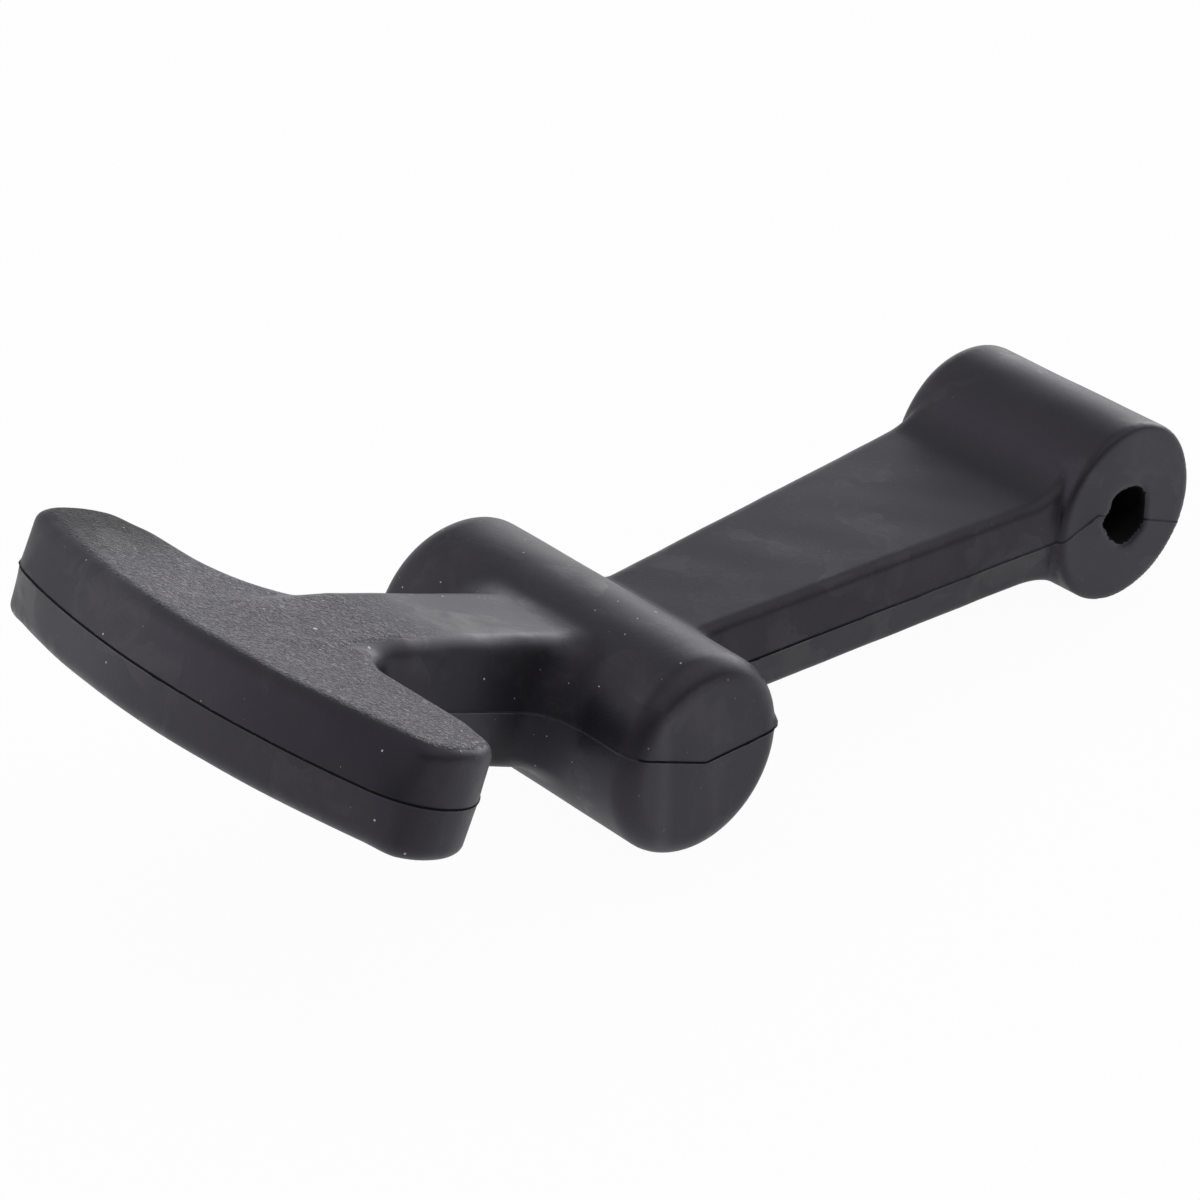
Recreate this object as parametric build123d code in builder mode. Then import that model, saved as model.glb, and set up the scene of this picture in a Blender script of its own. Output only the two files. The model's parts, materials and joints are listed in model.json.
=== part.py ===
from build123d import *
import os
from math import acos, atan2, cos, degrees, hypot, radians, sin, sqrt, tan

# Rubber T draw latch, moulded in one piece. Millimetres, +Z up, origin at the centre of the pivot bore.
# The bore runs along Y. The strap lies along X, and the catch barrel and the handle are towards -X.

# Pivot eye
pin_bore = 6.4
bore_mouth_round = 0.5
eye_diameter = 19.8
eye_length = 25.2
eye_edge = 1.0

# Catch barrel
barrel_diameter = 20.5
barrel_length = 38.2
barrel_edge = 2.3
axis_spacing = 66.0

# Strap between the two axes
strap_width_at_barrel = 14.5
strap_side_step = 0.15
strap_thickness_at_barrel = 9.8
strap_thickness_at_eye = 8.8
strap_seat_in_eye = 4.0
strap_edge = 1.1
strap_blend_at_eye = 4.5
strap_blend_at_barrel = 2.5

# Neck between the barrel and the handle
neck_width = 15.2
neck_thickness_at_barrel = 14.4
neck_thickness_at_handle = 12.7
neck_fade = 14.0
neck_fade_depth = 0.3
neck_blend = 4.5

# T handle, its reach measured from the barrel's axis along the neck
handle_reach = 55.4
handle_width = 56.4
handle_thickness = 10.7
handle_front_radius = 70.0
handle_edge = 2.0
arm_depth = 18.0
arm_tip_front_radius = 6.7
arm_tip_rear_radius = 7.0
arm_tip_land = 0.25
arm_root_radius = 4.2
arm_root_land = 1.4

# Slope that the mould gives the side walls, and how the handle is set on the strap, in degrees
draft = 13.0
tip_draft = 0.5
kick_up = 23.55
side_set = 1.9

# Places worked out from the sizes above
eye_radius = eye_diameter / 2
barrel_radius = barrel_diameter / 2
barrel_lift = barrel_radius - eye_radius
strap_run = sqrt(axis_spacing**2 - barrel_lift**2)
eye_centre = Vector(0, 0, 0)
barrel_centre = Vector(-strap_run, 0, barrel_lift)
strap_plane = Plane(
    origin=barrel_centre,
    x_dir=(strap_run, 0, -barrel_lift),
    z_dir=(barrel_lift, 0, strap_run),
)
handle_plane = Plane(
    origin=barrel_centre,
    x_dir=(
        -cos(radians(kick_up)) * cos(radians(side_set)),
        -sin(radians(side_set)),
        sin(radians(kick_up)) * cos(radians(side_set)),
    ),
    z_dir=(sin(radians(kick_up)), 0, cos(radians(kick_up))),
)
handle_axis = Axis(handle_plane.origin, handle_plane.z_dir)
arm_rear = handle_reach - arm_depth
handle_half_thickness = handle_thickness / 2
handle_inset = handle_half_thickness * tan(radians(draft))
tip_inset = handle_half_thickness * tan(radians(tip_draft))
neck_end = arm_rear - arm_root_radius - arm_root_land
strap_length = axis_spacing - strap_seat_in_eye
strap_width_at_eye = eye_length - 2 * strap_side_step


def section_plane(base, distance):
    """The plane across a limb, at a distance along the base plane's x axis."""
    return Plane(origin=base.from_local_coords((distance, 0, 0)), x_dir=base.y_dir, z_dir=base.x_dir)


def cylinder_plane(centre):
    """The plane of a cylinder's section, turned so that its seam points down, clear of the limbs."""
    return Plane(centre, x_dir=(0, 0, -1), z_dir=(0, 1, 0))


def moulded_section(width, thickness, edge):
    """A limb's section: widest on the parting line, sides drafted away from it, corners rounded."""
    half_width = width / 2
    half_thickness = thickness / 2
    face_half_width = half_width - half_thickness * tan(radians(draft))
    with BuildSketch() as section:
        with BuildLine():
            Polyline(
                (half_width, 0),
                (face_half_width, half_thickness),
                (-face_half_width, half_thickness),
                (-half_width, 0),
                (-face_half_width, -half_thickness),
                (face_half_width, -half_thickness),
                close=True,
            )
        make_face()
        fillet(section.vertices().filter_by(lambda v: abs(v.Y) > half_thickness / 2), edge)
    return section.sketch


def corner_arc(centre, radius, start, end):
    """A round corner, from one direction of its centre to another, in degrees from the x axis."""
    turns = [radians(start + (end - start) * share) for share in (0, 0.5, 1)]
    return ThreePointArc(*[(centre[0] + radius * cos(t), centre[1] + radius * sin(t)) for t in turns])


def handle_outline(inset, end_inset):
    """The handle and the root of its neck in plan, drawn in from the parting line, less at its tips."""
    half_width = handle_width / 2 - end_inset
    half_neck = neck_width / 2 - inset
    rear = arm_rear + inset
    front_radius = handle_front_radius - inset
    front_centre = handle_reach - handle_front_radius
    tip_round = arm_tip_front_radius - end_inset
    tip_across = half_width - tip_round
    tip_along = front_centre + sqrt((front_radius - tip_round) ** 2 - tip_across**2)
    tip_turn = degrees(atan2(tip_across, tip_along - front_centre))
    rear_round = min(arm_tip_rear_radius - inset, tip_along - rear - arm_tip_land)
    root_round = arm_root_radius + inset
    with BuildSketch() as outline:
        with BuildLine():
            corner_arc((front_centre, 0), front_radius, 0, tip_turn)
            corner_arc((tip_along, tip_across), tip_round, tip_turn, 90)
            Line((tip_along, half_width), (rear + rear_round, half_width))
            corner_arc((rear + rear_round, half_width - rear_round), rear_round, 90, 180)
            Line((rear, half_width - rear_round), (rear, half_neck + root_round))
            corner_arc((rear - root_round, half_neck + root_round), root_round, 0, -90)
            Line((rear - root_round, half_neck), (0, half_neck))
            Line((0, half_neck), (0, 0))
            mirror(about=Plane.XZ)
        make_face()
    return outline.sketch


def strap_width(distance):
    """The strap's width on its parting line, at a distance from the barrel's axis."""
    return strap_width_at_barrel + (strap_width_at_eye - strap_width_at_barrel) * distance / strap_length


def strap_thickness(distance):
    """The strap's thickness between its two broad faces, at a distance from the barrel's axis."""
    taper = strap_thickness_at_eye - strap_thickness_at_barrel
    return strap_thickness_at_barrel + taper * distance / axis_spacing


def seats_on(edge, centre, radius):
    """Whether an edge lies on a cylinder along Y, short of the cylinder's own rims and seam."""
    points = [edge @ share for share in (0.0, 0.25, 0.5, 0.75, 1.0)]
    heights = [abs(hypot(p.X - centre.X, p.Z - centre.Z) - radius) for p in points]
    own = edge.geom_type == GeomType.CIRCLE or edge.length > barrel_length - 0.01
    return max(heights) < 0.02 and not own


# The whole latch is one moulding
with BuildPart() as latch:
    # T handle with the root of the neck, drafted both ways from its parting plane
    for side in (1, -1):
        with BuildSketch(handle_plane):
            add(handle_outline(0, 0))
        with BuildSketch(handle_plane.offset(side * handle_half_thickness)):
            add(handle_outline(handle_inset, tip_inset))
        loft(ruled=True)
    split(bisect_by=section_plane(handle_plane, neck_end), keep=Keep.TOP)
    broad_faces = latch.faces().filter_by(handle_axis).sort_by(handle_axis)
    rim = broad_faces[0].edges() + broad_faces[-1].edges()
    fillet(rim.filter_by(lambda e: handle_plane.to_local_coords(e.center()).X > neck_end + 0.01), handle_edge)

    # Neck, thicker where it leaves the barrel, sinking into the handle's faces and walls
    for distance, width, thickness in (
        (0, neck_width, neck_thickness_at_barrel),
        (neck_end, neck_width, neck_thickness_at_handle),
        (neck_end + neck_fade, neck_width - 2 * neck_fade_depth, handle_thickness - 2 * neck_fade_depth),
    ):
        with BuildSketch(section_plane(handle_plane, distance)):
            add(moulded_section(width, thickness, handle_edge))
    loft(ruled=True)

    # Strap, wider towards the eye
    blend_height = strap_thickness_at_eye / 2 + strap_blend_at_eye
    blend_reach = eye_radius + strap_blend_at_eye
    blend_start = axis_spacing - sqrt(blend_reach**2 - blend_height**2)
    for distance in (0, blend_start):
        with BuildSketch(section_plane(strap_plane, distance)):
            add(moulded_section(strap_width(distance), strap_thickness(distance), strap_edge))
    loft(ruled=True)

    # The strap's faces curve up and down into the eye
    blend_turn = acos(blend_height / blend_reach)
    steps = 4
    flare = []
    for step in range(steps + 1):
        turn = blend_turn * step / steps
        distance = blend_start + strap_blend_at_eye * sin(turn)
        thickness = strap_thickness(blend_start) + 2 * strap_blend_at_eye * (1 - cos(turn))
        flare.append((distance, thickness))
    for distance, thickness in flare:
        with BuildSketch(section_plane(strap_plane, distance)):
            add(moulded_section(strap_width(distance), thickness, strap_edge))
    loft()
    for distance in (flare[-1][0], strap_length):
        with BuildSketch(section_plane(strap_plane, distance)):
            add(moulded_section(strap_width(distance), flare[-1][1], strap_edge))
    loft(ruled=True)

    # Catch barrel, blended into the neck and the strap
    with BuildSketch(cylinder_plane(barrel_centre)):
        Circle(barrel_radius)
    extrude(amount=barrel_length / 2, both=True)
    seats = latch.edges().filter_by(lambda e: seats_on(e, barrel_centre, barrel_radius))
    fillet(seats.filter_by(lambda e: e.center().X < barrel_centre.X), neck_blend)
    seats = latch.edges().filter_by(lambda e: seats_on(e, barrel_centre, barrel_radius))
    fillet(seats.filter_by(lambda e: e.center().X > barrel_centre.X), strap_blend_at_barrel)
    barrel_ends = latch.faces().filter_by(Axis.Y).filter_by(
        lambda f: abs(abs(f.center().Y) - barrel_length / 2) < 0.01
    )
    fillet(barrel_ends.edges(), barrel_edge)

    # Pivot eye
    with BuildSketch(cylinder_plane(eye_centre)):
        Circle(eye_radius)
    extrude(amount=eye_length / 2, both=True)
    eye_ends = latch.faces().filter_by(Axis.Y).filter_by(
        lambda f: abs(f.center().X) < eye_radius and abs(abs(f.center().Y) - eye_length / 2) < 0.01
    )
    fillet(eye_ends.edges(), eye_edge)

    # Pivot bore through the eye, with its mouths rounded
    with BuildSketch(cylinder_plane(eye_centre)):
        Circle(pin_bore / 2)
    extrude(amount=eye_length, both=True, mode=Mode.SUBTRACT)
    mouths = latch.edges().filter_by(GeomType.CIRCLE).filter_by(
        lambda e: abs(e.radius - pin_bore / 2) < 0.01
    )
    fillet(mouths, bore_mouth_round)

latch.part.label = "latch"
os.makedirs("parts", exist_ok=True)
export_step(latch.part, "parts/latch.step")
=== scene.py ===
import json
import math

import bpy
import numpy as np
from mathutils import Matrix, Vector


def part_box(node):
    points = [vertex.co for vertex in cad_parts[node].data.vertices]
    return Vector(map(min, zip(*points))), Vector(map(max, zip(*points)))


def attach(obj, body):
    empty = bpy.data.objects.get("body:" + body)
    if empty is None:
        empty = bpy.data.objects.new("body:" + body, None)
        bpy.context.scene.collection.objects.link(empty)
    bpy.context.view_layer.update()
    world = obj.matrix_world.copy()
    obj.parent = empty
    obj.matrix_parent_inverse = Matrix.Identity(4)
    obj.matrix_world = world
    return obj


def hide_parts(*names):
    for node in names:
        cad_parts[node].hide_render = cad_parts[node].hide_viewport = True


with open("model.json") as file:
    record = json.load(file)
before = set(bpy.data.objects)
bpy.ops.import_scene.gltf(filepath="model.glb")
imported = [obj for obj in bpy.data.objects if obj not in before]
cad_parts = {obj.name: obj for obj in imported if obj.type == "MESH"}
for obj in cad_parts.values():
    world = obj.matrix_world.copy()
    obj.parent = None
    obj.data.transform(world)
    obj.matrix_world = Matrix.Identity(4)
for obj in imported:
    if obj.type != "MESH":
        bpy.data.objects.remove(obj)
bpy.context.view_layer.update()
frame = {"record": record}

bl_info = {
    "name": "Rubber T draw latch",
    "version": (1, 0, 0),
    "blender": (4, 5, 0),
    "location": "3D View > Sidebar > Latch",
    "description": "Moulded rubber T draw latch with its parting line, grain and mould marks",
    "category": "Add Mesh",
}

MM = 0.001
MOUNTS = {mount["name"]: mount for mount in frame["record"]["mounts"]}
LATCH_LOW, LATCH_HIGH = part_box("latch")
BARREL = np.array(MOUNTS["catch_barrel"]["pos_m"])
BORE = MOUNTS["pivot_bore"]["dims"]
BORE_RADIUS = BORE["r_mm"] * MM
EYE_LENGTH = BORE["length_mm"] * MM
EYE_RADIUS = LATCH_HIGH.x
BARREL_RADIUS = BARREL[2] - LATCH_LOW.z
AXIS_SPACING = float(np.linalg.norm(BARREL))

# Steps for measuring slopes: of one part of the form, and of the whole moulding
STEP = 0.01 * MM
FINE_STEP = 0.004 * MM
# How far the parting surface reaches past the moulding
SEAM_BEYOND = 1 * MM
# Largest cosine that a fillet allows for, as it has no end between parallel faces
LEAN_LIMIT = 0.9
# Shares of facing along the handle between which a wall's draft leaves the tips'
TIP_FACING = (0.55, 1.0)
# Heights over which the neck's and the handle's faces start to melt together
MELT_HEIGHTS = (3.5 * MM, 5.0 * MM)
# Shortest and longest plane waves in a wave, as shares of its length
WAVE_RANGE = (0.6, 1.7)
# The grid: cells beyond the moulding, and growth of each layer over the one nearer the seam
GRID_MARGIN = 1.5
LAYER_GROWTH = 1.35
# Rounds in which points are moved onto the surface, the longest move and the least squared slope
SETTLE_ROUNDS = 3
LONGEST_MOVE = 0.2 * MM
LEAST_SLOPE = 0.1
# Half widths of the flash, off the seam, over which points become free to relax
FREE_FROM, FREE_FULL = 4, 8
# Share of a face's direction along an axis that counts as facing along it
SIDEWAYS = 0.8
UPWARD = 0.9
INTO_BORE = -0.35

# Flaps of torn flash round the bore's mouth: angle and spread in degrees, and height as a share
TORN_FLAPS = (
    (8, 26, 0.6), (84, 34, 1.15), (152, 13, 1.35), (180, 9, -0.9), (204, 12, 0.9),
    (228, 14, 0.8), (244, 8, 0.3), (284, 30, -1.3), (318, 12, -0.8), (346, 9, 0.3),
)
# Depths in the bore over which the tear ends
TORN_DEPTHS = (0.5 * MM, 2.2 * MM)
# Distances towards the far tip over which its grain fades and painted shade takes away its gloss
FAR_TIP = (10 * MM, 24 * MM)
# Painted shade in the hollow beside the neck: its place along and across the handle, and its size
PAINTED_SHADE_HOLLOW = (15 * MM, 8.5 * MM, 5.5 * MM)

# Painted highlights, upright streaks of extra gloss on the barrel's near end: place along X, half width,
# strength, and lower half only
PAINTED_HIGHLIGHT_STREAKS = ((-5.4 * MM, 0.9 * MM, 1.0, False), (1.3 * MM, 0.7 * MM, 0.4, True))

# Dust: cells per millimetre, largest radius in millimetres, and share of the cells without a speck
DUST_SIZES = ((0.8, 0.13, 0.35), (0.3, 0.28, 0.7))


def length(description, metres):
    """A length that shows in the sidebar."""
    return bpy.props.FloatProperty(
        description=description, default=metres, precision=5, subtype="DISTANCE", unit="LENGTH"
    )


def turn(description, degrees):
    """An angle that shows in the sidebar."""
    value = math.radians(degrees)
    return bpy.props.FloatProperty(description=description, default=value, subtype="ANGLE", unit="ROTATION")


def amount(description, value):
    """A plain number that shows in the sidebar."""
    return bpy.props.FloatProperty(description=description, default=value, min=0.0)


def colour(description, value):
    """A linear colour that shows in the sidebar."""
    return bpy.props.FloatVectorProperty(
        description=description, default=value, size=3, subtype="COLOR", min=0.0, max=1.0
    )


class LatchForm(bpy.types.PropertyGroup):
    """Sizes of the moulding."""

    bore_radius: length("Radius of the pivot bore", BORE_RADIUS)
    bore_mouth: length("Rounding of the bore's mouths", 0.5 * MM)
    eye_radius: length("Radius of the pivot eye", EYE_RADIUS)
    eye_length: length("Length of the pivot eye", EYE_LENGTH)
    eye_edge: length("Rounding of the eye's near rim", 0.6 * MM)
    eye_edge_far: length("Rounding of the eye's far rim", 1.7 * MM)
    barrel_radius: length("Radius of the catch barrel", BARREL_RADIUS)
    barrel_length: length("Length of the catch barrel", 38.2 * MM)
    barrel_edge: length("Rounding of the barrel's rims", 2.3 * MM)
    axis_spacing: length("From the bore to the barrel's axis", AXIS_SPACING)
    strap_half_width: length("Half the strap's width at the barrel", 7.25 * MM)
    strap_half_width_eye: length("Half the strap's width at the eye", 12.45 * MM)
    strap_half: length("Half the strap's thickness at the barrel", 4.9 * MM)
    strap_half_eye: length("Half the strap's thickness at the eye", 4.5 * MM)
    strap_seat: length("From the bore's axis to the strap's end in the eye", 4.0 * MM)
    strap_edge: length("Rounding of the strap's edges", 1.1 * MM)
    strap_flare: length("Radius of the strap's curve into the eye", 7.0 * MM)
    strap_flare_under: length("Radius of that curve on the strap's underside", 11.0 * MM)
    eye_blend: length("Radius of the strap's blend into the eye", 0.3 * MM)
    strap_blend: length("Radius of the strap's blend into the barrel", 2.5 * MM)
    neck_half_width: length("Half the neck's width", 7.6 * MM)
    neck_half: length("Half the neck's thickness at the barrel", 7.2 * MM)
    neck_half_end: length("Half the neck's thickness at the handle", 6.35 * MM)
    neck_fade: length("Length over which the neck sinks into the handle", 20.0 * MM)
    neck_sink: length("How far the neck's end lies under the handle's faces", 0.95 * MM)
    neck_melt: length("Width over which the neck's faces melt into the handle's", 0.9 * MM)
    neck_blend: length("Radius of the neck's blend into the barrel", 4.5 * MM)
    handle_reach: length("From the barrel's axis to the handle's front", 55.4 * MM)
    handle_half_width: length("Half the handle's width", 28.1 * MM)
    handle_aside: length("How far the handle's tips lie towards the near side", 0.05 * MM)
    handle_half: length("Half the handle's thickness", 5.35 * MM)
    handle_front: length("Radius of the handle's front", 70.0 * MM)
    handle_front_aside: length("How far the front's centre lies towards the near tip", -0.6 * MM)
    handle_edge: length("Rounding of the handle's long edges", 2.0 * MM)
    tip_edge: length("Rounding of the edges round the handle's tips", 1.35 * MM)
    arm_depth: length("From the arms' rear to the handle's front", 18.3 * MM)
    arm_front_round: length("Corner radius of the tips in front", 7.1 * MM)
    arm_rear_round: length("Corner radius of the tips at the rear", 7.2 * MM)
    arm_root_round: length("Radius between the near arm and the neck", 4.2 * MM)
    arm_root_round_far: length("Radius between the far arm and the neck", 8.5 * MM)
    neck_land: length("Straight length of neck before the arm's root", 1.4 * MM)
    seam_leaves: length("From the bore's axis to where the seam leaves the strap's plane", 9.5 * MM)
    seam_arrives: length("From the bore's axis to where the seam meets its slope", 4.5 * MM)
    seam_drop: length("How far that slope passes under the bore's axis", 0.5 * MM)
    draft: turn("Slope of the side walls away from the parting line", 13.0)
    end_draft: turn("Slope of the barrel's and the eye's ends", 1.5)
    end_draft_under: amount("Share of the end draft under the parting line", 0.15)
    tip_draft: turn("Slope of the handle's tips", 0.5)
    kick: turn("Angle that the handle turns up from the strap", 23.55)
    side_set: turn("Angle that the handle is set to one side", 1.9)
    twist: turn("Angle that the handle is twisted about its neck", -0.3)


class LatchMarks(bpy.types.PropertyGroup):
    """Marks that the mould leaves on the rubber."""

    spacing: length("Distance between the points of the skin", 0.42 * MM)
    flash_height: length("Height of the ridge along the parting line", 0.1 * MM)
    flash_ragged: length("How far the ridge's height wanders", 0.03 * MM)
    flash_least: length("Least height of the ridge", 0.02 * MM)
    flash_half: length("Half the width of the ridge", 0.135 * MM)
    wander: length("How far the parting line strays from its plane", 0.05 * MM)
    nib: length("Height of the lump of flash at the barrel's rim", 0.5 * MM)
    nib_spread: length("Size of that lump", 0.5 * MM)
    nib_above: length("Height of that lump above the barrel's axis", 0.3 * MM)
    bore_ragged: length("Depth of the torn flash at the bore's mouths", 0.38 * MM)
    torn_reach: length("From the bore's axis to the last torn faces", 5 * MM)
    unevenness: length("How far the broad faces wave", 0.02 * MM)


class SkinLook(bpy.types.PropertyGroup):
    """Where the look of the skin changes, measured from the barrel's axis, with painted shade and painted
    highlights in its gloss.
    """

    grain_lead: length("How far before the neck's end the grain starts", 8 * MM)
    neck_grain: amount("Share of the grain on the neck", 0.03)
    far_smooth: amount("Share of the grain that the far tip lacks", 0.75)
    # Painted shade: the next two values take gloss off the far tip, and more off its top
    far_painted_shade: amount("Share of the gloss that the far tip lacks", 0.35)
    far_top_painted_shade: amount("Share that its top lacks besides", 0.5)
    dust_fade: length("Distance on either side over which dust thins out", 14 * MM)
    strap_dust: amount("Share of the dust on the strap and the eye", 0.05)
    end_clean: amount("Share of the dust that the barrel's ends lack", 0.7)
    # Painted shade: gloss taken off the hollow beside the neck
    hollow_painted_shade: amount("Share of the gloss that the hollow beside the neck lacks", 0.75)
    # Painted light and shade: the strap's sides glossier above the seam and less glossy under it
    strap_painted_light: amount("Gloss that the strap's sides gain above the seam and lose under it", 0.25)
    # Painted highlights: the gloss of the streaks on the barrel's near end
    streak_painted_highlight: amount("Gloss of the streaks on the barrel's near end", 0.45)
    neck_faint: amount("How faint the parting line is on the neck", 0.75)
    strap_faint: amount("How faint it becomes along the strap", 0.6)
    strap_faint_end: length("Where on the strap it is faintest", 40 * MM)


class RubberFinish(bpy.types.PropertyGroup):
    """Colours and surface of the rubber."""

    rubber: colour("Colour of the clean rubber", (0.012, 0.0111, 0.0157))
    bloom: colour("Colour of the paler blotches", (0.0255, 0.0236, 0.0265))
    # Inside the bore this dark colour is painted shade; on the flash it is the torn rubber's own
    torn: colour("Colour of the flash and inside the bore", (0.006, 0.006, 0.007))
    dust: colour("Colour of the dust specks", (0.55, 0.54, 0.52))
    roughness: amount("Roughness of the moulded skin", 0.38)
    torn_roughness: amount("Roughness of the flash", 0.75)
    grain: amount("Strength of the leathery grain", 0.9)
    grain_height: length("Height of its ridges", 0.28 * MM)
    # Paler, glossier ridges: partly their own paler colour, partly painted shade in the grain's valleys
    ridge_bloom_and_valley_shade: amount("How much paler those ridges are", 0.7)
    valley_painted_shade_gloss: amount("Gloss between the ridges", 0.46)
    ridge_gloss: amount("Gloss on the ridges", 1.4)


class StudioStage(bpy.types.PropertyGroup):
    """Camera, floor and light."""

    aim: bpy.props.FloatVectorProperty(
        description="Point that the camera looks at", subtype="TRANSLATION", unit="LENGTH",
        default=(-62.54 * MM, 0.0, 8.16 * MM), precision=5,
    )
    distance: length("From the camera to its aim", 409.5 * MM)
    azimuth: turn("Direction that the camera looks in, from +Y towards +X", 42.28)
    elevation: turn("Height of the camera above the horizon", 31.03)
    roll: turn("Turn of the camera about its own axis", 0.95)
    lens: amount("Focal length in millimetres", 127.12)
    floor_size: length("Side of the square floor", 6.0)
    floor_gap: length("Gap between the latch and the floor", 0.05 * MM)
    key: amount("Strength of the soft box low behind the latch", 3.4)
    key_turn: turn("Where the key stands, from straight behind towards the right", 39.0)
    key_spread: turn("Half the angle that the key fills", 35.0)
    back: amount("Strength of the light straight behind", 1.55)
    back_turn: turn("Where the back light stands", 10.0)
    back_spread: turn("Half the angle that the back light fills", 40.0)
    left: amount("Strength of the light on the left", 0.95)
    left_turn: turn("Where the left light stands", -60.0)
    front: amount("Strength of the light in front on the left", 0.6)
    front_turn: turn("Where the front light stands", -120.0)
    low_height: turn("Height of the left and front lights above the horizon", 20.0)
    top: amount("Strength of the light above on the right", 0.95)
    top_turn: turn("Where the top light stands", 100.0)
    top_height: turn("Height of the top light above the horizon", 60.0)
    soft_spread: turn("Half the angle that each of those three fills", 60.0)
    shadow: amount("How much of the floor's shadow shows", 0.035)
    floor_gloss: amount("How much of the floor's white shows in the gloss", 0.7)
    sky_gloss: amount("How much of the sky's white shows in the gloss", 0.05)


def waves(points, wavelength, seed, count=9):
    """Smooth wandering values between about -1 and 1, from plane waves in seeded directions."""
    draw = np.random.default_rng(seed)
    directions = draw.normal(size=(count, 3))
    directions /= np.linalg.norm(directions, axis=1)[:, None]
    rates = 2 * math.pi / (wavelength * draw.uniform(*WAVE_RANGE, count))
    phases = draw.uniform(0, 2 * math.pi, count)
    return np.sin(points @ (directions * rates[:, None]).T + phases).sum(axis=1) / math.sqrt(count)


def fade(value, start, end):
    """0 before start, 1 after end and smooth between them."""
    share = np.clip((value - start) / (end - start), 0, 1)
    return share * share * (3 - 2 * share)


def blended(a, b, radius, lean):
    """The union of two distances, with a round fillet. lean is the cosine between their normals."""
    lean = np.clip(lean, -LEAN_LIMIT, LEAN_LIMIT)
    spread = 1 - lean**2
    past_a, past_b = a - radius, b - radius
    in_corner = (past_a < lean * past_b) & (past_b < lean * past_a)
    reach = np.sqrt(np.maximum(past_a**2 + past_b**2 - 2 * lean * past_a * past_b, 0) / spread)
    return np.where(in_corner, radius - reach, np.minimum(a, b))


def rounded(a, b, radius, lean):
    """The common part of two distances, with its edge rounded."""
    return -blended(-a, -b, radius, lean)


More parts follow.
